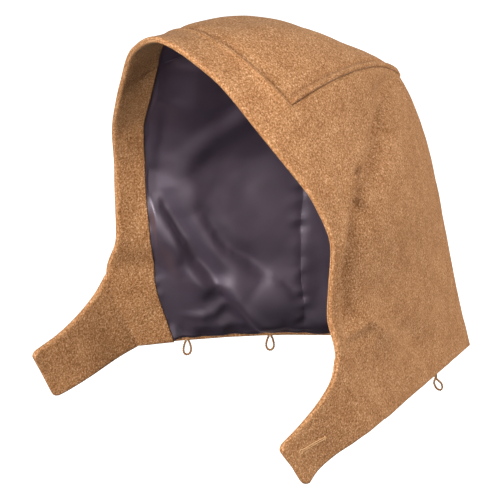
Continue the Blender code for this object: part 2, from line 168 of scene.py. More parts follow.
LINING_FOLDS = (
    ("right", 5.0, 17.0, 0.0, ((2.3, 0.15), (1.8, 0.20), (1.4, 0.24), (0.8, 0.32), (0.15, 0.365))),
    ("right", -7.0, 7.5, 0.0,
     ((3.0, 0.12), (2.5, 0.138), (2.0, 0.18), (1.4, 0.24), (0.8, 0.32), (0.05, 0.365))),
    ("right", 0.0, 8.5, 8.0,
     ((2.7, 0.13), (2.3, 0.15), (2.0, 0.18), (1.7, 0.21), (1.3, 0.25), (0.85, 0.305))),
    ("right", 0.0, 8.0, -7.0, ((0.95, 0.295), (0.76, 0.32), (0.58, 0.34), (0.35, 0.355), (0.05, 0.37))),
    ("right", 8.0, 36.0, 0.0, ((0.95, 0.42), (0.7, 0.47), (0.45, 0.52))),
    ("right", 5.0, 26.0, 0.0, ((4.9, 0.20), (4.7, 0.28), (4.5, 0.38))),
    ("right", 2.5, 20.0, 0.0, ((2.9, 0.24), (2.0, 0.32), (1.3, 0.37), (0.9, 0.42))),
    ("right", -5.0, 7.0, 3.5, ((2.4, 0.25), (2.0, 0.29), (1.7, 0.33), (1.4, 0.39), (1.1, 0.44))),
    ("right", -3.0, 4.0, 1.0, ((1.2, 0.45), (1.0, 0.48), (0.8, 0.50), (0.6, 0.50), (0.4, 0.51))),
    ("right", 2.2, 7.0, 0.8, ((3.3, 0.17), (3.6, 0.24), (3.9, 0.29), (4.3, 0.35))),
    ("right", -3.0, 12.0, 0.0, ((2.9, 0.20), (3.3, 0.26), (3.7, 0.33))),
    ("right", 1.5, 5.0, 0.8, ((5.1, 0.13), (4.8, 0.18), (4.7, 0.24))),
    ("right", 3.0, 13.0, 0.0, ((1.6, 0.66), (1.0, 0.74), (0.3, 0.80))),
    ("right", 1.5, 3.5, 1.2, ((4.7, 0.16), (4.1, 0.15), (3.5, 0.13), (2.9, 0.13))),
    ("right", 0.8, 2.5, 1.0, ((2.5, 0.15), (1.6, 0.18), (0.9, 0.20), (0.5, 0.19))),
    ("right", 4.4, 3.6, 0.6, ((0.40, 0.18), (0.46, 0.25), (0.52, 0.28), (0.62, 0.31), (0.45, 0.35))),
    ("right", -3.0, 3.2, 1.0, ((0.52, 0.245), (0.30, 0.235), (0.06, 0.235))),
    ("right", -3.0, 3.2, 1.2, ((0.50, 0.285), (0.27, 0.275), (0.05, 0.275))),
    ("right", -2.6, 3.2, 1.2, ((0.51, 0.46), (0.26, 0.45), (0.06, 0.45))),
    ("right", -1.6, 2.6, 1.0, ((0.17, 0.20), (0.15, 0.28), (0.16, 0.38), (0.18, 0.48))),
    ("right", 1.6, 5.0, 0.0, ((2.2, 0.62), (1.4, 0.63), (0.3, 0.60))),
    ("right", 1.8, 6.0, 1.2, ((1.9, 0.68), (1.2, 0.70), (0.3, 0.67))),
    ("left", -5.0, 9.0, 2.0,
     ((2.6, 0.19), (2.3, 0.21), (2.0, 0.24), (1.4, 0.30), (0.9, 0.37), (0.4, 0.41))),
    ("left", 3.0, 16.0, 0.0, ((2.6, 0.28), (1.9, 0.35), (1.2, 0.42))),
    ("left", -2.5, 12.0, 1.0, ((3.6, 0.28), (3.0, 0.34), (2.4, 0.39))),
    ("left", 3.0, 13.0, 0.0, ((1.8, 0.68), (1.1, 0.74), (0.4, 0.78))),
    ("left", 1.5, 3.5, 1.0, ((4.4, 0.16), (3.7, 0.15), (3.0, 0.14))),
    ("left", 0.8, 2.5, 1.0, ((2.2, 0.16), (1.5, 0.19), (0.7, 0.20))),
    ("left", -2.5, 4.5, 1.2, ((1.1, 0.46), (0.8, 0.49), (0.4, 0.50))),
    ("left", -2.2, 3.5, 0.8, ((0.52, 0.25), (0.28, 0.29), (0.06, 0.30))),
    ("left", -1.8, 3.0, 0.8, ((0.40, 0.38), (0.22, 0.41), (0.05, 0.42))),
    ("left", 2.0, 3.5, 0.6, ((0.42, 0.20), (0.50, 0.25), (0.60, 0.31), (0.44, 0.35))),
)
BILLOW = 9.0
FOLD_POINTS = 25
FOLD_END = 0.12
# How bluntly troughs and tucks end, less being blunter, and how steeply a trough's sides fall.
TROUGH_ENDS, TUCK_ENDS = 0.6, 0.7
WOOL_SHARPNESS, LINING_SHARPNESS = 2.0, 1.8
UP_AND_BACK = np.array((0.0, 1.0, 0.6))
# How far apart two seeds lie in the noise.
SEED_STEP = (17.3, 5.1, 9.7)

LOOPS = (
    # name, side, distance from the back seam, lean outwards, turn
    ("loop_right_front", "right", 254.0, 0.0, 0.0),
    ("loop_right_back", "right", 180.0, 0.0, 8.0),
    ("loop_left_back", "left", 130.0, 3.6, 90.0),
)
LOOP_CORD = 2.2
LOOP_LENGTH = 13.5
LOOP_STUB = 1.6
LOOP_WIDTH = 7.0
LOOP_NECK = 0.35
YARN_RADIUS, YARN_OFFSET, YARN_LAY = 0.60, 0.48, 3.4

# The buttonhole: (share up the tab, share along it) of its eyelet and of its bar, and its threads.
BUTTONHOLE = ((0.55, 0.84), (0.38, 0.53))
EYELET = 2.0
EDGES_APART = 1.7
STITCH_RADIUS, STITCH_RISE, STITCH_STEP = 0.36, 0.14, 1.0
BAR_HALF, BAR_RADIUS = 1.9, 0.7
THREAD_LIFT = 0.1

# The camera, the floor and the lights are in metres from the frame's origin. The photograph's view, as
# it was solved, is a long lens a little above the wearer's left front.
PHOTO_SIZE = (500, 488)
VIEW_AZIMUTH, VIEW_ELEVATION = 49.0, 18.0
VIEW_DISTANCE = 8.0
VIEW_TARGET = Vector((0.0, -0.2579, 0.1472)) - Vector(HEAD) * MM
PIXELS_PER_METRE = 1170.0
SENSOR = 36.0

FLOOR_HALF, FLOOR_LEVEL = 12.0, -0.95
LIGHT_AIM = Vector((0, 0, -0.1))
LIGHTS = (
    # name, place, size, power, whether the cloth mirrors it
    ("light_front", (0.6, -1.55, 1.4), 1.0, 37.0, True),
    ("light_front_low", (0.4, -2.0, 0.1), 1.0, 68.0, False),
    ("light_right", (2.3, -0.2, 0.3), 1.0, 3.0, True),
    ("light_back", (1.55, 1.6, 0.3), 1.2, 56.0, True),
)


# The form.


def hermite(a, b, slope_a, slope_b, u):
    return (
        (2 * u**3 - 3 * u**2 + 1) * a
        + (u**3 - 2 * u**2 + u) * slope_a
        + (3 * u**2 - 2 * u**3) * b
        + (u**3 - u**2) * slope_b
    )


def table_at(rows, t):
    """A table read between its lines at row numbers t, without overshooting them."""
    p, t = np.array(rows, float), np.atleast_1d(np.asarray(t, float))
    steps = np.diff(p, axis=0)
    before, after = steps[:-1], steps[1:]
    same_way = before * after > 0
    inner = np.where(same_way, 2 * before * after / np.where(same_way, before + after, 1), 0)
    slopes = np.vstack([steps[:1], inner, steps[-1:]])
    i = np.clip(t.astype(int), 0, len(p) - 2)
    return hermite(p[i], p[i + 1], slopes[i], slopes[i + 1], (t - i)[:, None])


def through(points):
    """A smooth curve through the points, as a function of 0 to 1."""
    p = np.array(points, float)
    knots = np.concatenate([[0], np.cumsum(np.linalg.norm(np.diff(p, axis=0), axis=1))])
    slopes = np.gradient(p, knots, axis=0)

    def at(s):
        x = np.atleast_1d(np.asarray(s, float)) * knots[-1]
        i = np.clip(np.searchsorted(knots, x, side="right") - 1, 0, len(p) - 2)
        h = (knots[i + 1] - knots[i])[:, None]
        return hermite(p[i], p[i + 1], h * slopes[i], h * slopes[i + 1], (x - knots[i])[:, None] / h)

    return at


def side_points(t, share):
    """The side's outer face at row numbers t (R) and shares of the way back (R, C)."""
    t = np.atleast_1d(np.asarray(t, float))
    share = np.asarray(share, float).reshape(len(t), -1)[..., None]
    front = table_at(FRONT_TABLE, t)
    back_y, back_z, out, up = table_at(BACK_TABLE, np.minimum(t, CORNER_ROW)).T
    way = np.stack([0 * t, back_y, back_z], axis=1) - front
    sideways = np.stack([way[:, 1], -way[:, 0], 0 * t], axis=1)
    sideways /= np.hypot(way[:, 0], way[:, 1])[:, None]
    lift = np.stack([0 * t, 0 * t, up], axis=1)
    bulge = 4 * share * (1 - share)
    return front[:, None] + share * way[:, None] + bulge * (out[:, None] * sideways + lift)[:, None]


def marks(length, step, fine_start=False, fine_end=False, count=None):
    """Fractions of a length for the grid's lines, a step apart, and close together at an edge or seam."""
    start = CLOSE_LINES if fine_start else []
    end = CLOSE_LINES if fine_end else []
    first = start[-1] if start else 0.0
    last = length - (end[-1] if end else 0.0)
    count = count or max(1, round((last - first) / step))
    inner = [first + (last - first) * k / count for k in range(1, count)]
    close_to_end = [length - d for d in reversed(end)]
    return np.array([0.0, *start, *inner, *close_to_end, length]) / length


class Grid:
    """One half's outer face: rows from the neck to the crown's middle, columns from the tab to the back."""

    def __init__(self):
        last = len(ROW_LENGTHS) - 1
        rows = []
        for k, length in enumerate(ROW_LENGTHS):
            rows.append(k + marks(length, ROW_STEP, fine_start=k == 0, fine_end=k == last)[:-1])
        self.jaw = len(rows[0])
        self.corner = sum(len(r) for r in rows)
        groove = np.arange(GROOVE_START, GROOVE_END, GROOVE_STEP) / CROWN_HALF
        crown = np.sort(np.concatenate([marks(CROWN_HALF, CROWN_STEP, True), groove]))
        rows.append(CORNER_ROW + crown * (TOP_ROW - CORNER_ROW))
        self.t = np.concatenate(rows)
        self.top = len(self.t) - 1
        facing = marks(FACING_WIDTH, COLUMN_STEP, True, True)
        band = marks(BAND_EXTRA, BAND_STEP, True, True)
        front = marks(FRONT_WIDTH, COLUMN_STEP, True, True)
        back = marks(BACK_WIDTH, COLUMN_STEP, True, True)
        self.facing = len(facing) - 1
        self.band = self.facing + len(band) - 1
        self.seam = self.band + len(front) - 1
        self.back = self.seam + len(back) - 1
        width, seam = table_at(FACING_TABLE, np.minimum(self.t, CORNER_ROW)).T
        whole = side_points(self.t, np.ones(len(self.t))) - side_points(self.t, 0 * self.t)
        way = np.linalg.norm(whole, axis=-1)[:, 0]
        f, b, s = (width / way)[:, None], ((width + BAND_EXTRA) / way)[:, None], seam[:, None]
        self.share = np.hstack(
            [f * facing, f + (b - f) * band[1:], b + (s - b) * front[1:], s + (1 - s) * back[1:]]
        )
        self.tab_marks = marks(TAB_LENGTH, ROW_STEP, False, True)
        self.tab = len(self.tab_marks) - 1
        self.points = self.place()

    def crown(self):
        """Points above the corner row: the crown panel, and the band in front of it."""
        across = ((self.t[self.corner + 1 :] - CORNER_ROW) / (TOP_ROW - CORNER_ROW))[:, None]
        share = self.share[self.corner]
        start = share[self.band]
        seam = side_points([CORNER_ROW], [share])[0]
        along = np.clip((share - start) / (1 - start), 0, 1)
        line = through(CROWN_CENTRE)(along)
        points = seam + (line - seam) * (1 - (1 - across[..., None]) ** CROWN_ARCH)
        points[..., 0] = seam[:, 0] * (1 - across)
        points[..., 2] += CROWN_PUFF * 4 * across * (1 - across) * np.sin(np.pi * along)
        front = table_at(FRONT_TABLE, self.t[self.corner + 1 :])[:, None]
        edge = points[:, self.band][:, None]
        width = (share[: self.band + 1] / share[self.band])[None, :, None]
        points[:, : self.band + 1] = front + (edge - front) * width
        return points

    def tab_points(self):
        """Points of the chin tab, whose rows run on from the side's and draw close to both of its edges."""
        top, bottom = through(TAB_TOP), through(TAB_BOTTOM)
        w = self.tab_marks[1:]
        even = self.t[: self.jaw + 1][:, None]
        edged = marks(ROW_LENGTHS[0], ROW_STEP, True, True, self.jaw - 2 * len(CLOSE_LINES))[:, None]
        up = even + (edged - even) * np.minimum(w / TAB_ROOT, 1)
        upper, lower = top(w), bottom(w)
        end = np.linalg.norm(upper[-1] - lower[-1])
        length = np.linalg.norm(upper[-1] - np.array(TAB_TOP[0]))
        short = np.maximum(0, TAB_CORNER - (1 - w) * length)
        inset = ((TAB_CORNER - np.sqrt(TAB_CORNER**2 - short**2)) / end)[None]
        level = (inset + (1 - 2 * inset) * up)[..., None]
        root = table_at(FRONT_TABLE, up.ravel()).reshape(*up.shape, 3)
        root_top, root_bottom = np.array(TAB_TOP[0]), np.array(TAB_BOTTOM[0])
        straight = root_bottom + (root_top - root_bottom) * up[..., None]
        return lower + (upper - lower) * level + (1 - w)[None, :, None] * (root - straight)

    def place(self):
        """Points in (row, column) order. Columns before self.tab are the tab's, with rows up to the jaw."""
        sides = side_points(self.t[: self.corner + 1], self.share[: self.corner + 1])
        main = np.vstack([sides, self.crown()])
        whole = np.full((self.top + 1, self.tab + main.shape[1], 3), np.nan)
        whole[:, self.tab :] = main
        whole[: self.jaw + 1, : self.tab] = self.tab_points()[:, ::-1]
        return whole


GRID = Grid()
EDGE_COLUMN = GRID.tab
FACING_COLUMN, BAND_COLUMN = EDGE_COLUMN + GRID.facing, EDGE_COLUMN + GRID.band
SEAM_COLUMN, BACK_COLUMN = EDGE_COLUMN + GRID.seam, EDGE_COLUMN + GRID.back
JAW, CORNER, TOP = GRID.jaw, GRID.corner, GRID.top


def travel(points, axis):
    """Length walked along the grid's lines from the first one."""
    steps = np.linalg.norm(np.diff(points, axis=axis), axis=-1)
    steps = np.nan_to_num(steps)
    start = np.zeros_like(np.take(steps, [0], axis=axis))
    return np.cumsum(np.concatenate([start, steps], axis=axis), axis=axis)


ALONG_ROW = travel(GRID.points, 1)
UP_COLUMN = travel(GRID.points, 0)


def from_column(c):
    return np.abs(ALONG_ROW - ALONG_ROW[:, [c]])


def from_row(r):
    return np.abs(UP_COLUMN - UP_COLUMN[[r]])


R_INDEX, C_INDEX = np.indices(GRID.points.shape[:2])
IN_TAB = C_INDEX < EDGE_COLUMN
FAR_AWAY = 1e3


def edge_distance():
    """Distance to the face edge, and on a tab to its upper edge and its tip."""
    found = np.where(IN_TAB, FAR_AWAY, from_column(EDGE_COLUMN))
    above = np.where(IN_TAB, from_row(JAW), FAR_AWAY)
    tip = np.where(IN_TAB, ALONG_ROW, FAR_AWAY)
    corner = np.hypot(ALONG_ROW - ALONG_ROW[:, [EDGE_COLUMN]], UP_COLUMN - UP_COLUMN[[JAW]])
    past = (~IN_TAB) & (R_INDEX < JAW)
    found = np.where(past, corner, found)
    return np.minimum(np.minimum(found, above), tip)


FROM_EDGE = edge_distance()
FROM_NECK = from_row(0)
FROM_CORNER_ROW = from_row(CORNER)
FROM_BAND = from_column(BAND_COLUMN)
FROM_FACING = from_column(FACING_COLUMN)
FROM_SEAM = from_column(SEAM_COLUMN)
FROM_BACK = from_column(BACK_COLUMN)


# One mesh for both halves: numbers for the grid's points, and its cells.


def number_points():
    ids = {side: np.full(GRID.points.shape[:2], -1) for side in ("left", "right")}
    places, owners = [], []
    for side, sign in (("left", 1), ("right", -1)):
        for r in range(TOP + 1):
            for c in range(BACK_COLUMN + 1):
                if c < EDGE_COLUMN and r > JAW:
                    continue
                if side == "right" and (r == TOP or c == BACK_COLUMN):
                    ids[side][r, c] = ids["left"][r, c]
                elif c == BACK_COLUMN and r > CORNER:
                    ids[side][r, c] = ids[side][CORNER, c]
                else:
                    ids[side][r, c] = len(places)
                    place = GRID.points[r, c] * (sign, 1, 1)
                    if c < EDGE_COLUMN:
                        fall = 1 - UP_COLUMN[r, c] / UP_COLUMN[JAW, c]
                        place[2] += TAB_LIFT[side] * fall * GRID.tab_marks[EDGE_COLUMN - c]
                    places.append(place)
                    owners.append((side, r, c))
    return ids, np.array(places), owners


IDS, PLACES, OWNERS = number_points()
OWNER_SIDE = np.array([side for side, _, _ in OWNERS])
OWNER_R = np.array([r for _, r, _ in OWNERS])
OWNER_C = np.array([c for _, _, c in OWNERS])


def cells(chosen, sides=("left", "right")):
    """Four point numbers for each cell that the mask picks by its low corner, facing out."""
    found = []
    no_cell = IN_TAB & (R_INDEX >= JAW)
    r, c = np.nonzero((chosen & ~no_cell)[:-1, :-1])
    for side in sides:
        n = IDS[side]
        four = np.stack([n[r, c], n[r, c + 1], n[r + 1, c + 1], n[r + 1, c]], axis=1)
        found.append(four if side == "left" else four[:, ::-1])
    return np.vstack(found)


ALL_CELLS = cells(R_INDEX <= TOP)


def spread(field):
    """A field over the half grid as one value for each numbered point."""
    return field[OWNER_R, OWNER_C]


def outward(points):
    """Unit normals at the points, which point out of the hood."""
    a, b, c, d = (points[ALL_CELLS[:, k]] for k in range(4))
    normal = np.cross(c - a, d - b)
    total = np.zeros_like(points)
    for k in range(4):
        np.add.at(total, ALL_CELLS[:, k], normal)
    return total / np.maximum(np.linalg.norm(total, axis=1), 1e-9)[:, None]


CELL_EDGES = np.vstack([ALL_CELLS[:, [k, (k + 1) % 4]] for k in range(4)])


def softened(values, times):
    """Values at the points, drawn half way to their neighbours this many times, more to closer ones."""
    pairs = np.vstack([CELL_EDGES, CELL_EDGES[:, ::-1]])
    weight = 1 / np.maximum(np.linalg.norm(PLACES[pairs[:, 0]] - PLACES[pairs[:, 1]], axis=1), 0.05)
    whole = np.bincount(pairs[:, 0], weight, len(values))
    for _ in range(times):
        values = (values + np.bincount(pairs[:, 0], weight * values[pairs[:, 1]], len(values)) / whole) / 2
    return values


def smoothed(values, times):
    """Values at the points, averaged with their neighbours this many times."""
    for _ in range(times):
        total, count = values.copy(), np.ones(len(values))
        np.add.at(total, CELL_EDGES[:, 0], values[CELL_EDGES[:, 1]])
        np.add.at(count, CELL_EDGES[:, 0], 1)
        values = total / count[:, None]
    return values


# How slowly the ways turn, how deep plies lie, and how far round the crown's back point they go one way.
WAY_SMOOTHING = 30
CLEAR_DEPTH = 7.0
POINT_REACH = 9.0


def inward_ways(points):
    """Unit ways into the hood, which turn slowly over seams and ridges and keep off the centre plane."""
    ways = -smoothed(outward(points), WAY_SMOOTHING)
    ways[:, 0] /= np.sqrt(1 + (CLEAR_DEPTH * ways[:, 0] / np.maximum(np.abs(points[:, 0]), 1e-6)) ** 2)
    ways /= np.linalg.norm(ways, axis=1)[:, None]
    point = IDS["left"][CORNER, BACK_COLUMN]
    near = np.exp(-((np.linalg.norm(points - points[point], axis=1) / POINT_REACH) ** 2))[:, None]
    ways = ways * (1 - near) + ways[point] * near
    return ways / np.linalg.norm(ways, axis=1)[:, None]


# Folds, undulation, seams and edges.


def fold_field(places, folds, sharpness):
    """How far folds push each place into the hood."""
    total = np.zeros(len(places))
    for side, depth, half_width, tuck, course in folds:
        mine = np.nonzero((OWNER_SIDE == side) & (OWNER_R <= CORNER) & (OWNER_C >= EDGE_COLUMN))[0]
        stops = np.array([side_points([t], [[share]])[0, 0] for t, share in course])
        stops *= (1 if side == "left" else -1, 1, 1)
        line = through(stops)(np.linspace(0, 1, FOLD_POINTS))
        here = places[mine]
        nearest, along, behind = np.full(len(mine), FAR_AWAY), np.zeros(len(mine)), np.zeros(len(mine))
        for i, (a, b) in enumerate(zip(line, line[1:], strict=False)):
            s = np.clip((here - a) @ (b - a) / np.dot(b - a, b - a), 0, 1)
            way = here - a - s[:, None] * (b - a)
            away = np.linalg.norm(way, axis=1)
            closer = away < nearest
            nearest[closer], along[closer] = away[closer], ((i + s) / (len(line) - 1))[closer]
            behind[closer] = (way @ UP_AND_BACK)[closer]
        u = nearest / half_width
        # Even is the trough or ridge itself, which fades to about half at the fold's ends. Odd is the tuck,
        # which is fullest at the half width and fades to nothing at the ends.
        fading = np.sin(np.pi * (FOLD_END + (1 - 2 * FOLD_END) * along)) ** TROUGH_ENDS
        even = fading * np.exp(-(u**sharpness))
        odd = -np.sign(behind) * u * np.sin(np.pi * along) ** TUCK_ENDS * np.exp(0.5 - u**2 / 2)
        total[mine] += depth * even + tuck * odd
    return total


def noise_field(places, size, seed):
    """Even noise from -1 to 1 with lumps of this size in millimetres."""
    offset = Vector([seed * step for step in SEED_STEP])
    return np.array([noise.noise(Vector(p / size) + offset) for p in places])


def lumpy(places, layers):
    """Noise of several layers, in millimetres."""
    return sum(height * noise_field(places, size, seed) for height, size, seed in layers)


def rise(x, start, end):
    """0 up to start, 1 from end on, and smooth between them."""
    u = np.clip((x - start) / (end - start), 0, 1)
    return u * u * (3 - 2 * u)


def roll(distance, radius):
    """How far a round edge falls away at this distance from it."""
    d = np.minimum(distance, radius)
    return radius - np.sqrt(np.maximum(radius**2 - (radius - d) ** 2, 0))


def free_of(*spans):
    """0 where a distance is below its start, and 1 where each is past its end."""
    found = 1.0
    for distance, start, end in spans:
        found = found * rise(distance, start, end)
    return found


SIDE = R_INDEX <= CORNER
WOOL_FREE = free_of((FROM_EDGE, 0, 12), (FROM_CORNER_ROW, 0, 14), (FROM_BACK, 0, 22)) * (SIDE & ~IN_TAB)
WOOL_UNEVEN = EDGE_UNEVEN + (1 - EDGE_UNEVEN) * rise(FROM_EDGE, 0, 15)


def wool_base():
    """The wool's outer face with its folds, and the way into the hood at each point."""
    ways = inward_ways(PLACES)
    points = PLACES.copy()
    points += ways * (fold_field(PLACES, SHELL_FOLDS, WOOL_SHARPNESS) * spread(WOOL_FREE))[:, None]
    points += ways * (lumpy(PLACES, WOOL_LUMPS) * spread(WOOL_UNEVEN))[:, None]
    ridge = np.sqrt((RIDGE_SLOPE * FROM_BACK) ** 2 + RIDGE_ROUND**2) - RIDGE_SLOPE * FROM_BACK
    ridge = np.where(SIDE, ridge * rise(FROM_CORNER_ROW, 0, 6), 0)
    ridge_ways = ways[IDS["left"][:, BACK_COLUMN]][OWNER_R]
    points += ridge_ways * spread(ridge)[:, None]
    return points, inward_ways(points)


WOOL, WAYS = wool_base()


def wool_edges():
    """How far the wool's outer face falls away at its edges and seams, over the half grid."""
    faced = C_INDEX <= FACING_COLUMN
    edge = roll(FROM_EDGE, EDGE_ROUND)
    neck = np.where(faced, roll(FROM_NECK, EDGE_ROUND), roll(FROM_NECK, LINED_NECK_ROUND))
    side_seam = np.where(C_INDEX >= BAND_COLUMN, roll(FROM_CORNER_ROW, SIDE_SEAM_ROUND), 0)
    band_seam = np.where(R_INDEX >= CORNER, roll(FROM_BAND, BAND_SEAM_ROUND), 0)
    back_seam = np.where(SIDE, roll(FROM_BACK, BACK_SEAM_ROUND), 0)
    return np.maximum.reduce([edge, neck, side_seam, band_seam, back_seam])


def hump(distance, height, middle, half_width):
    return height * np.exp(-(((distance - middle) / half_width) ** 2))


def seam_allowances():
    """How far the cloth turned under at the crown's side seams and the band's back edge lifts the wool."""
    behind = C_INDEX >= BAND_COLUMN
    along_side = rise(FROM_BAND, 1, 12)
    along_band = rise(FROM_CORNER_ROW, 0, 12)
    crown = (hump(FROM_CORNER_ROW, *CROWN_RIDGE) + hump(FROM_CORNER_ROW, *CROWN_GROOVE)) * along_side
    below = hump(FROM_CORNER_ROW, *BELOW_CROWN) * along_side
    band = hump(FROM_BAND, *BAND_RIDGE) * along_band
    after_band = hump(FROM_BAND, *BEHIND_BAND) * along_band
    return (
        np.where(~SIDE & behind, crown + after_band, 0)
        + np.where(SIDE & behind, below, 0)
        + np.where((R_INDEX >= CORNER) & ~behind, band, 0)
    )


LIFT = spread(seam_allowances()) * (1 + lumpy(PLACES, SEAM_LUMPS))
OUTER = WOOL + WAYS * np.minimum(spread(wool_edges()) - LIFT, SHELL - THINNEST)[:, None]
INNER_EDGE = np.where(C_INDEX > FACING_COLUMN, roll(FROM_NECK, INNER_NECK_ROUND), 0)
INNER = WOOL + WAYS * spread(SHELL - INNER_EDGE)[:, None]


def facing_face():
    """The facing's inner face, which is the one that shows."""
    round_edges = np.maximum(roll(FROM_EDGE, EDGE_ROUND), roll(FROM_NECK, EDGE_ROUND))
    inner_edge = np.where(C_INDEX <= FACING_COLUMN, roll(FROM_FACING, FACING_EDGE_ROUND), 0)
    return WOOL + WAYS * spread(UNDER + FACING - np.maximum(round_edges, inner_edge))[:, None]


def small_folds(places, distance, depth, size, seed, reach, squeeze):
    """Short folds across a seam or hem, which fade away from it."""
    return depth * noise_field(places * squeeze, size, seed) * np.exp(-((distance / reach) ** 2))


def lining_face():
    """The lining's face against the wool, with its folds, puckered seam and gathered hem."""
    start = WOOL + WAYS * UNDER
    below_crown = OWNER_R < CORNER
    seam, facing, hem = spread(FROM_SEAM), spread(FROM_FACING), spread(FROM_NECK) - HEM
    corner, back = spread(FROM_CORNER_ROW), spread(FROM_BACK)
    billow = BILLOW * (1 + lumpy(start, BILLOW_LUMPS))
    billow *= free_of((facing, 3, 40), (hem, 0, 16), (corner, 0, 10), (back, 0, 12)) * below_crown
    folds = fold_field(start, LINING_FOLDS, LINING_SHARPNESS)
    folds *= free_of((facing, 0, 5), (hem, 0, 6), (back, 0, 12))
    small = small_folds(start, seam, *PUCKER) + small_folds(start, hem, *GATHER)
    small += small_folds(start, facing, *RUFFLE)
    depth = billow + folds + small * below_crown + lumpy(start, LINING_LUMPS) * rise(facing, 0, 10)
    depth = softened(depth, 2) - hump(seam, LINING_SLACK, 0, SEAM_DRAW)
    return start + WAYS * np.maximum(depth + LINING_SLACK, 0)[:, None]


FACING_IN = facing_face()
LINING_OUT = lining_face()
LINING_IN = LINING_OUT + WAYS * LINING


# Meshes.


def add_piece(name, points, faces, material):
    """A smooth object from points in millimetres, fixed to the hood's body."""
    mesh = bpy.data.meshes.new(name)
    mesh.from_pydata(((np.array(points) - HEAD) * MM).tolist(), [], faces)
    mesh.validate()
    mesh.shade_smooth()
    obj = bpy.data.objects.new(name, mesh)
    bpy.context.scene.collection.objects.link(obj)
    mesh.materials.append(material)
    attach(obj, "root")
    return obj


def wall(name, faces, outer, inner, material, gap=SEAM_GAP):
    """A closed piece of cloth between two sheets of points, drawn in from its seams by a gap."""
    faces = [list(dict.fromkeys(face)) for face in faces.tolist()]
    faces = [face for face in faces if len(face) > 2]
    rim_edges = {}
    for face in faces:
        for a, b in zip(face, face[1:] + face[:1], strict=True):
            if not rim_edges.pop((b, a), False):
                rim_edges[a, b] = True
    rim = {k for edge in rim_edges for k in edge}
    used = sorted({k for face in faces for k in face})
    place = {k: i for i, k in enumerate(used)}
    inside = {k: [] for k in rim}
    for face in faces:
        for a, b in zip(face, face[1:] + face[:1], strict=True):
            for k, other in ((a, b), (b, a)):
                if k in rim and other not in rim:
                    inside[k].append(other)
    plies = []
    for sheet in (outer, inner):
        points = sheet[used].copy()
        for k, others in inside.items():
            if others and sewn_point(k):
                way = sheet[others].mean(axis=0) - sheet[k]
                points[place[k]] += way * min(0.5, gap / max(np.linalg.norm(way), 1e-6))
        plies.append(points)
    n = len(used)
    all_faces = [[place[k] for k in face] for face in faces]
    all_faces += [[n + place[k] for k in reversed(face)] for face in faces]
    all_faces += [[place[b], place[a], n + place[a], n + place[b]] for a, b in rim_edges]
    return add_piece(name, np.vstack(plies), all_faces, material)


def sewn_point(k):
    """Whether a point of a piece's rim lies on a seam and not on an open edge."""
    return not (OWNER_R[k] == 0 or OWNER_C[k] <= EDGE_COLUMN)


def srgb(text):
    """A hex colour as the linear values that Blender wants."""
    values = [int(text[i : i + 2], 16) / 255 for i in (1, 3, 5)]
    return tuple(v / 12.92 if v <= 0.04045 else ((v + 0.055) / 1.055) ** 2.4 for v in values)


def new_material(name):
    material = bpy.data.materials.new(name)
    material.use_nodes = True
    tree = material.node_tree
    tree.nodes.clear()
    return material, tree


def node(tree, kind, inputs=(), stops=(), **settings):
    """Adds a node with its settings, sets or links its inputs, and gives a colour ramp its stops."""
    made = tree.nodes.new(kind)
    for key, value in settings.items():
        setattr(made, key, value)
    for key, value in dict(inputs).items():
        if isinstance(value, bpy.types.NodeSocket):
            tree.links.new(value, made.inputs[key])
        else:
            made.inputs[key].default_value = value
    for k, (position, colour) in enumerate(stops):
        elements = made.color_ramp.elements
        element = elements[k] if k < len(elements) else elements.new(position)
        element.position = position
        element.color = (*srgb(colour), 1)
    return made


# Sizes of the patterns in wool, satin and yarn.
TUFT, FIBRE_BUNDLE, BRUSHED_PATCH = 1.5625, 2 / 3, 50 / 3
FLOAT_WIDTH, FLOAT_SQUEEZE, SHADE_PATCH = 10 / 9, 0.12, 25.0
CORD_STRAND, BUTTONHOLE_STRAND = 2 / 3, 0.4


def lumps_of(size):
    """The scale of a noise texture for lumps of this size in millimetres."""
    return 1 / (size * MM)


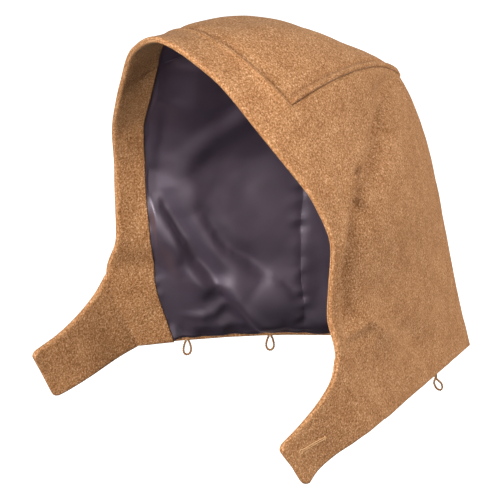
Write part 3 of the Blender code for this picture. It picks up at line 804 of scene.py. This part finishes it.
def melton():
    """Camel melton, woven wool that was milled and brushed until felted.

    Its fibres are of several browns, dull all over, and the nap glows a little where it is seen edge on.
    """
    material, tree = new_material("camel_melton_wool")
    where = node(tree, "ShaderNodeTexCoord").outputs["Object"]
    # Real fibres are hundredths of a millimetre thick. Tufts this coarse are what the eye sees of them.
    tufts = node(
        tree,
        "ShaderNodeTexNoise",
        {"Vector": where, "Scale": lumps_of(TUFT), "Detail": 2.0, "Roughness": 0.6},
    )
    fibres = node(
        tree,
        "ShaderNodeTexNoise",
        {"Vector": where, "Scale": lumps_of(FIBRE_BUNDLE), "Detail": 2.0, "Distortion": 1.5},
    )
    patches = node(
        tree,
        "ShaderNodeTexNoise",
        {"Vector": where, "Scale": lumps_of(BRUSHED_PATCH), "Detail": 3.0},
    )
    both = node(
        tree,
        "ShaderNodeMix",
        {"Factor": 0.4, 2: tufts.outputs["Fac"], 3: fibres.outputs["Fac"]},
        data_type="FLOAT",
    )
    browns = node(
        tree,
        "ShaderNodeValToRGB",
        {"Fac": both.outputs[0]},
        stops=((0.34, "#674124"), (0.45, "#90653F"), (0.54, "#A97B54"), (0.66, "#D3AB86")),
    )
    brushed = node(
        tree,
        "ShaderNodeValToRGB",
        {"Fac": patches.outputs["Fac"]},
        stops=((0.30, "#E9E2DC"), (0.70, "#FFFFFF")),
    )
    colour = node(
        tree,
        "ShaderNodeMix",
        {"Factor": 1.0, 6: browns.outputs["Color"], 7: brushed.outputs["Color"]},
        data_type="RGBA",
        blend_type="MULTIPLY",
    )
    bump = node(tree, "ShaderNodeBump", {"Height": both.outputs[0], "Strength": 0.8, "Distance": 1.2 * MM})
    shader = node(
        tree,
        "ShaderNodeBsdfPrincipled",
        {
            "Base Color": colour.outputs[2],
            "Roughness": 0.95,
            "Specular IOR Level": 0.1,
            "Sheen Weight": 0.12,
            "Sheen Roughness": 0.4,
            "Sheen Tint": (*srgb("#F0D2AC"), 1),
            "Normal": bump.outputs["Normal"],
        },
    )
    node(tree, "ShaderNodeOutputMaterial", {"Surface": shader.outputs["BSDF"]})
    return material


def satin():
    """Aubergine lining satin, woven of filament in long floats: dark, and it shines softly along its folds.

    The floats lie level and mirror more than one fibre does, so the IOR is above a fibre's typical 1.5.
    """
    material, tree = new_material("aubergine_satin")
    where = node(tree, "ShaderNodeTexCoord").outputs["Object"]
    # Floats are drawn about ten times as wide as real ones, and eight times as long as wide.
    drawn_out = node(tree, "ShaderNodeMapping", {"Vector": where, "Scale": (1.0, 1.0, FLOAT_SQUEEZE)})
    floats = node(
        tree,
        "ShaderNodeTexNoise",
        {"Vector": drawn_out.outputs["Vector"], "Scale": lumps_of(FLOAT_WIDTH), "Detail": 2.0},
    )
    patches = node(
        tree,
        "ShaderNodeTexNoise",
        {"Vector": where, "Scale": lumps_of(SHADE_PATCH), "Detail": 3.0},
    )
    colour = node(
        tree,
        "ShaderNodeValToRGB",
        {"Fac": patches.outputs["Fac"]},
        stops=((0.3, "#2A212C"), (0.7, "#342B37")),
    )
    bump = node(
        tree,
        "ShaderNodeBump",
        {"Height": floats.outputs["Fac"], "Strength": 0.1, "Distance": 0.3 * MM},
    )
    shader = node(
        tree,
        "ShaderNodeBsdfPrincipled",
        {
            "Base Color": colour.outputs["Color"],
            "Roughness": 0.5,
            "IOR": 2.5,
            "Specular IOR Level": 1.0,
            "Specular Tint": (*srgb("#EFE0EC"), 1),
            "Sheen Weight": 0.1,
            "Sheen Roughness": 0.3,
            "Sheen Tint": (*srgb("#C9BCCB"), 1),
            "Normal": bump.outputs["Normal"],
        },
    )
    node(tree, "ShaderNodeOutputMaterial", {"Surface": shader.outputs["BSDF"]})
    return material


def thread(name, dark, light, strand):
    """Twisted yarn, matt, with strands of this width in two near shades."""
    material, tree = new_material(name)
    where = node(tree, "ShaderNodeTexCoord").outputs["Object"]
    strands = node(tree, "ShaderNodeTexNoise", {"Vector": where, "Scale": lumps_of(strand), "Detail": 2.0})
    colour = node(
        tree,
        "ShaderNodeValToRGB",
        {"Fac": strands.outputs["Fac"]},
        stops=((0.35, dark), (0.65, light)),
    )
    shader = node(
        tree,
        "ShaderNodeBsdfPrincipled",
        {
            "Base Color": colour.outputs["Color"],
            "Roughness": 0.7,
            "Specular IOR Level": 0.3,
            "Sheen Weight": 0.15,
        },
    )
    node(tree, "ShaderNodeOutputMaterial", {"Surface": shader.outputs["BSDF"]})
    return material


WOOL_CLOTH = melton()
SATIN_CLOTH = satin()
CORD_YARN = thread("brown_cord", "#6B4624", "#93683C", CORD_STRAND)
BUTTONHOLE_YARN = thread("camel_buttonhole_thread", "#B08353", "#C79F70", BUTTONHOLE_STRAND)


def make_cloth():
    side = R_INDEX < CORNER
    wrap = wall("wool_shell", cells(side | (C_INDEX < BAND_COLUMN)), OUTER, INNER, WOOL_CLOTH)
    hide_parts("shell_wrap")
    crown = wall("wool_crown", cells(~side & (C_INDEX >= BAND_COLUMN)), OUTER, INNER, WOOL_CLOTH)
    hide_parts("crown_panel")
    facing = wall("wool_facing", cells(C_INDEX < FACING_COLUMN), WOOL + WAYS * UNDER, FACING_IN, WOOL_CLOTH)
    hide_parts("facing")


def make_lining():
    hem_row = int(np.argmin(np.abs(UP_COLUMN[:, SEAM_COLUMN] - HEM)))
    side = (R_INDEX < CORNER) & (R_INDEX >= hem_row)
    front = side & (C_INDEX >= FACING_COLUMN) & (C_INDEX < SEAM_COLUMN)
    back = side & (C_INDEX >= SEAM_COLUMN)
    crown = (R_INDEX >= CORNER) & (C_INDEX >= FACING_COLUMN)
    for name, node_name, picked, sides, flat, area in (
        ("lining_right_satin", "lining_right", front, ("right",), (0.17, 0.29), 0.0400),
        ("lining_left_satin", "lining_left", front, ("left",), (0.17, 0.29), 0.0400),
        ("lining_back_satin", "lining_back", back, ("left", "right"), (0.24, 0.30), 0.0630),
        ("lining_crown_satin", "lining_crown", crown, ("left", "right"), (0.18, 0.27), 0.0290),
    ):
        piece = wall(name, cells(picked, sides), LINING_OUT, LINING_IN, SATIN_CLOTH, SATIN_SEAM_GAP)
        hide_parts(node_name)


def strand(path, radius, sides=6):
    """A tube along the path, of one radius or one for each point: points and faces."""
    path = np.array(path, float)
    radius = np.broadcast_to(radius, len(path))
    ahead = np.gradient(path, axis=0)
    ahead /= np.linalg.norm(ahead, axis=1)[:, None]
    # Across the path, from a way that it never runs along.
    up = np.cross(ahead[0], (0.3, 0.8, 0.52))
    points, faces = [], []
    for k, (place, way) in enumerate(zip(path, ahead, strict=True)):
        up = up - way * np.dot(up, way)
        up /= np.linalg.norm(up)
        across = np.cross(way, up)
        for s in range(sides):
            a = 2 * np.pi * s / sides
            points.append(place + radius[k] * (np.cos(a) * up + np.sin(a) * across))
        if k:
            for s in range(sides):
                low, high = (k - 1) * sides, k * sides
                faces.append([low + s, low + (s + 1) % sides, high + (s + 1) % sides, high + s])
    last = (len(path) - 1) * sides
    faces.append(list(range(sides))[::-1])
    faces.append([last + s for s in range(sides)])
    return points, faces


def joined(name, parts, material):
    """One object from several (points, faces)."""
    points, faces = [], []
    for part_points, part_faces in parts:
        base = len(points)
        points += part_points
        faces += [[base + k for k in face] for face in part_faces]
    return add_piece(name, points, faces, material)


def neck_place(side, distance):
    """A point in the middle of the wool's lower edge, this far from the back seam, and the way forwards."""
    run = IDS[side][0, BACK_COLUMN : EDGE_COLUMN - 1 : -1]
    points = PLACES[run]
    walked = np.concatenate([[0], np.cumsum(np.linalg.norm(np.diff(points, axis=0), axis=1))])
    i = int(np.searchsorted(walked, distance)) - 1
    share = (distance - walked[i]) / (walked[i + 1] - walked[i])
    step = points[i + 1] - points[i]
    return points[i] + step * share + WAYS[run[i]] * SHELL / 2, step / np.linalg.norm(step)


def loop_path(side, distance, lean, turn):
    """The middle of a loop's cord, from the wool's edge down, round and back up."""
    root, forwards = neck_place(side, distance)
    outwards = np.array([-forwards[1], forwards[0], 0.0]) * (1 if side == "left" else -1)
    down = np.array([0.0, 0.0, -1.0])
    half_foot = LOOP_CORD * 0.6
    stops = [root - forwards * half_foot]
    for k in range(25):
        angle = 2 * np.pi * k / 24
        low = 0.5 * (1 - np.cos(angle))
        swing = np.radians(turn) * min(1.0, 2 * low)
        aside = forwards * np.cos(swing) + outwards * np.sin(swing)
        width = LOOP_WIDTH / 2 * np.sin(angle) * (LOOP_NECK + (1 - LOOP_NECK) * low)
        sideways = aside * (width + half_foot * np.cos(angle / 2))
        drop = LOOP_STUB + (LOOP_LENGTH - LOOP_STUB) * low
        stops.append(root - sideways + outwards * lean * low + down * drop)
    stops.append(root + forwards * half_foot)
    return through(stops)(np.linspace(0, 1, 110))


def make_loops():
    """Each loop is two yarns laid round each other."""
    for name, side, distance, lean, turn in LOOPS:
        path = loop_path(side, distance, lean, turn)
        ahead = np.gradient(path, axis=0)
        ahead /= np.linalg.norm(ahead, axis=1)[:, None]
        walked = np.concatenate([[0], np.cumsum(np.linalg.norm(np.diff(path, axis=0), axis=1))])
        # Across the cord, from a way that it never runs along.
        up = np.cross(ahead, (0.31, 0.22, 0.93))
        up /= np.linalg.norm(up, axis=1)[:, None]
        across = np.cross(ahead, up)
        yarns = []
        for start in (0.0, np.pi):
            angle = (start + 2 * np.pi * walked / YARN_LAY)[:, None]
            round_path = np.cos(angle) * up + np.sin(angle) * across
            yarns.append(strand(path + YARN_OFFSET * round_path, YARN_RADIUS))
        loop = joined(f"{name}_cord", yarns, CORD_YARN)
        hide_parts(name)


def on_tab(up, mark, face):
    """A place on the left chin tab, and the way into the hood there. face is 0 outside and 1 inside."""
    row = np.interp(up, GRID.t[: JAW + 1], np.arange(JAW + 1))
    column = np.interp(-mark, -GRID.tab_marks[::-1], np.arange(EDGE_COLUMN + 1))
    r, c = int(min(row, JAW - 1)), int(min(column, EDGE_COLUMN - 1))
    u, v = row - r, column - c
    four = IDS["left"][[r, r, r + 1, r + 1], [c, c + 1, c, c + 1]]
    weights = np.array(((1 - u) * (1 - v), (1 - u) * v, u * (1 - v), u * v))
    sheet = OUTER if face == 0 else FACING_IN
    return weights @ sheet[four], weights @ WAYS[four]


def make_buttonhole():
    """The buttonhole sewn along the left chin tab: two whipped edges side by side, an eyelet and a bar."""
    start, end = np.array(BUTTONHOLE[0]), np.array(BUTTONHOLE[1])
    shares = np.linspace(0.06, 1, 14)
    parts = []
    for face, lift_side in ((0, -1), (1, 1)):
        head, _ = on_tab(*start, face)
        tail, way = on_tab(*end, face)
        length = np.linalg.norm(tail - head)
        along = (tail - head) / length
        across = np.cross(way, along)
        lift = way * THREAD_LIFT * lift_side
        middle = np.array([on_tab(*(start + (end - start) * share), face)[0] for share in shares])
        edges = [middle + across * side * EDGES_APART / 2 + lift for side in (1, -1)]
        angle = np.linspace(0.15 * np.pi, 1.85 * np.pi, 15)[:, None]
        eyelet = head + EYELET * (np.cos(angle) * along + np.sin(angle) * across) + lift
        sewn = through(np.vstack([edges[0][::-1], eyelet, edges[1]]))
        walked = np.linspace(0, 1, 420)
        # Both edges, and about the way round the eyelet.
        sewn_length = 2 * length + 6 * EYELET
        stitches = STITCH_RADIUS + STITCH_RISE * np.abs(np.sin(np.pi * walked * sewn_length / STITCH_STEP))
        parts.append(strand(sewn(walked), stitches))
        bar = [tail + across * x + 3 * lift for x in np.linspace(-BAR_HALF, BAR_HALF, 7)]
        parts.append(strand(through(bar)(np.linspace(0, 1, 20)), BAR_RADIUS, 8))
    joined("buttonhole", parts, BUTTONHOLE_YARN)


def make_air():
    """White air, bright all round and dim from below."""
    world = bpy.data.worlds.new("studio_air")
    bpy.context.scene.world = world
    world.use_nodes = True
    tree = world.node_tree
    tree.nodes.clear()
    where = node(tree, "ShaderNodeTexCoord").outputs["Generated"]
    up = node(tree, "ShaderNodeSeparateXYZ", {"Vector": where}).outputs["Z"]
    level = node(
        tree,
        "ShaderNodeMapRange",
        {"Value": up, "From Min": -0.45, "From Max": -0.1, "To Min": 0.005, "To Max": 0.52},
    )
    air = node(tree, "ShaderNodeBackground", {"Color": (1, 1, 1, 1), "Strength": level.outputs["Result"]})
    node(tree, "ShaderNodeOutputWorld", {"Surface": air.outputs["Background"]})
    bpy.context.scene.view_settings.view_transform = "Standard"


def make_floor():
    """A pale floor, well below the hood, that neither lights the cloth nor shows in the satin."""
    mesh = bpy.data.meshes.new("studio_floor")
    square = ((-1, -1), (1, -1), (1, 1), (-1, 1))
    mesh.from_pydata([(x * FLOOR_HALF, y * FLOOR_HALF, FLOOR_LEVEL) for x, y in square], [], [[0, 1, 2, 3]])
    floor = bpy.data.objects.new("studio_floor", mesh)
    bpy.context.scene.collection.objects.link(floor)
    material, tree = new_material("pale_floor")
    shader = node(
        tree,
        "ShaderNodeBsdfPrincipled",
        {
            "Base Color": (*srgb("#F7F7F5"), 1),
            "Roughness": 0.9,
            "Emission Color": (1, 1, 1, 1),
            "Emission Strength": 0.6,
        },
    )
    node(tree, "ShaderNodeOutputMaterial", {"Surface": shader.outputs["BSDF"]})
    mesh.materials.append(material)
    floor.visible_diffuse = False
    floor.visible_glossy = False


def make_lights():
    """Soft square lights round the hood, all turned to its middle."""
    for name, place, size, power, mirrored in LIGHTS:
        data = bpy.data.lights.new(name, "AREA")
        data.size = size
        data.energy = power
        light = bpy.data.objects.new(name, data)
        light.location = place
        light.rotation_euler = (LIGHT_AIM - Vector(place)).to_track_quat("-Z", "Y").to_euler()
        light.visible_camera = False
        light.visible_glossy = mirrored
        bpy.context.scene.collection.objects.link(light)


def make_camera():
    """The photograph's view."""
    a, e = np.radians(VIEW_AZIMUTH), np.radians(VIEW_ELEVATION)
    forward = Vector((-np.sin(a) * np.cos(e), np.cos(a) * np.cos(e), -np.sin(e)))
    right = Vector((np.cos(a), np.sin(a), 0))
    data = bpy.data.cameras.new("photo_camera")
    data.sensor_width = SENSOR
    data.lens = SENSOR * PIXELS_PER_METRE * VIEW_DISTANCE / PHOTO_SIZE[0]
    data.clip_end = 60.0
    camera = bpy.data.objects.new("photo_camera", data)
    pose = Matrix((right, right.cross(forward), -forward)).transposed().to_4x4()
    pose.translation = VIEW_TARGET - forward * VIEW_DISTANCE
    camera.matrix_world = pose
    bpy.context.scene.collection.objects.link(camera)
    bpy.context.scene.camera = camera


make_cloth()
make_lining()
make_loops()
make_buttonhole()
make_floor()
make_air()
make_lights()
make_camera()

bpy.context.view_layer.update()
